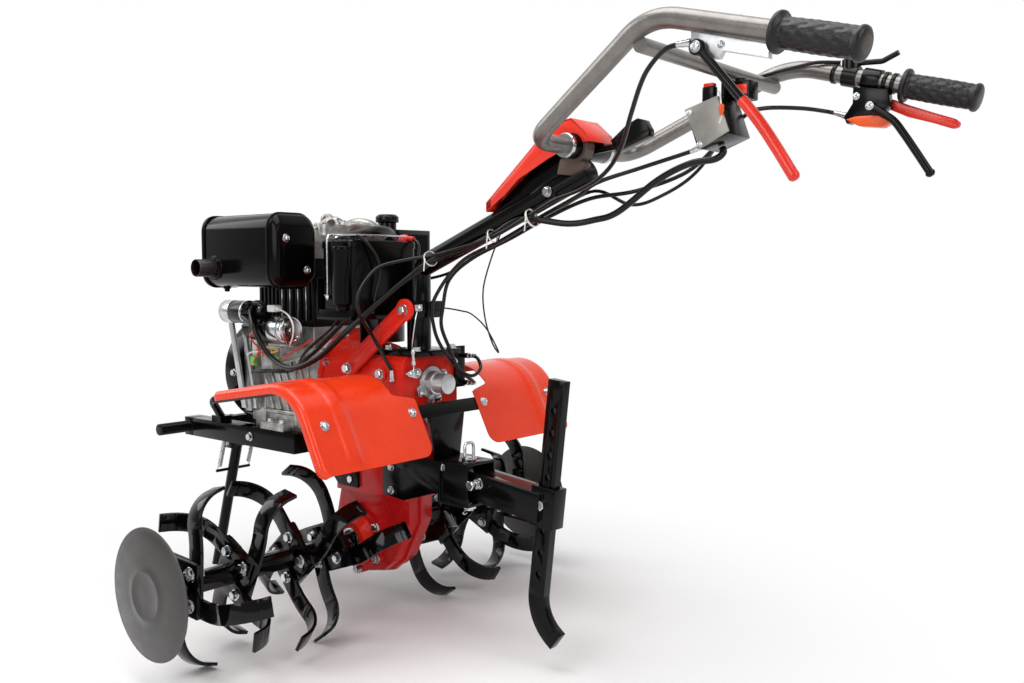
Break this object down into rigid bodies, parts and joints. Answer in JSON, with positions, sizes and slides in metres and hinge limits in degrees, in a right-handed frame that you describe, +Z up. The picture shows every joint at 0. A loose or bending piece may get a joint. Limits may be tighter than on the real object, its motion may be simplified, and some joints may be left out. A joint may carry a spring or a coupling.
{
  "type": "rotary tiller",
  "caption": "Walk-behind rotary tiller with a diesel engine, side tine reels, guard discs, fenders, tilting handlebar, flip stand and furrow stake.",
  "frame": {"origin": "on the floor, below the middle of the tine shaft", "axes": "+X forward, +Y to the operator's left, +Z up"},
  "size_m": [1.9273, 1.18, 1.2206],
  "materials": {
    "red_casting": "gloss paint",
    "red_paint": "gloss",
    "red_plastic": "gloss",
    "black_paint": "gloss",
    "black_plastic": "satin",
    "zinc_steel": "zinc plated",
    "cast_aluminium": "as cast",
    "black_aluminium": "black paint",
    "dark_steel": "satin",
    "gunmetal_paint": "metallic",
    "rubber": "matte"
  },
  "bodies": {
    "machine": {"gearbox_leg": "red_casting", "bearing_cover_left": "red_casting", "bearing_cover_right": "red_casting", "gearbox_case": "red_casting", "pto_cap": "zinc_steel", "drain_plug": "zinc_steel", "brace_bar": "red_paint", "column": "black_paint", "column_cover": "red_plastic", "lock_lever": "black_plastic", "cable_bracket": "black_paint", "crankcase": "cast_aluminium", "engine_cylinder": "black_aluminium", "cylinder_head": "cast_aluminium", "recoil_housing": "black_paint", "muffler": "black_paint", "tail_pipe": "black_paint", "fuel_tank": "black_paint", "tank_cap": "black_plastic", "air_cleaner": "black_plastic", "battery": "black_plastic", "battery_tray": "black_paint", "starter_motor": "zinc_steel", "solenoid": "zinc_steel", "engine_frame": "black_paint", "front_guard": "black_paint", "fender_left": "red_paint", "fender_right": "red_paint", "fender_bar": "black_paint", "fender_stay_left": "black_paint", "fender_stay_right": "black_paint", "hitch_bracket": "black_paint", "hitch_pin": "zinc_steel", "drawbar": "black_paint", "stake": "black_paint", "stand_bolt": "zinc_steel", "stand_spring_left": "zinc_steel", "stand_spring_right": "zinc_steel", "cable_clutch": "rubber", "cable_throttle": "rubber", "cable_reverse": "rubber", "cable_shift": "rubber", "harness": "rubber"},
    "tine_rotor": {"axle_shaft": "zinc_steel", "reel_left": "black_paint", "reel_right": "black_paint", "disc_left": "dark_steel", "disc_right": "dark_steel"},
    "stand": {"stand_leg": "black_paint"},
    "handlebar_set": {"handlebar": "gunmetal_paint", "grip_left": "rubber", "grip_right": "rubber", "console": "gunmetal_paint", "clutch_bracket": "cast_aluminium", "clutch_lever": "red_plastic", "brake_bracket": "black_plastic", "brake_lever": "black_paint", "safety_lever": "red_plastic", "throttle_lever": "black_plastic"}
  },
  "joints": [
    {"name": "rotor_spin", "type": "hinge", "parent": "machine", "child": "tine_rotor", "pos_m": [0, 0, 0.19518], "axis": [0, 1, 0], "continuous": true},
    {"name": "stand_fold", "type": "hinge", "parent": "machine", "child": "stand", "pos_m": [0.54, 0, 0.362], "axis": [0, 1, 0], "range_deg": [0, 100], "deforming": ["stand_spring_left", "stand_spring_right"]},
    {"name": "handlebar_tilt", "type": "hinge", "parent": "machine", "child": "handlebar_set", "pos_m": [-0.614, 0, 1.057], "axis": [0, 1, 0], "range_deg": [-20, 25], "deforming": ["cable_clutch", "cable_throttle", "cable_reverse", "cable_shift", "harness"]}
  ]
}
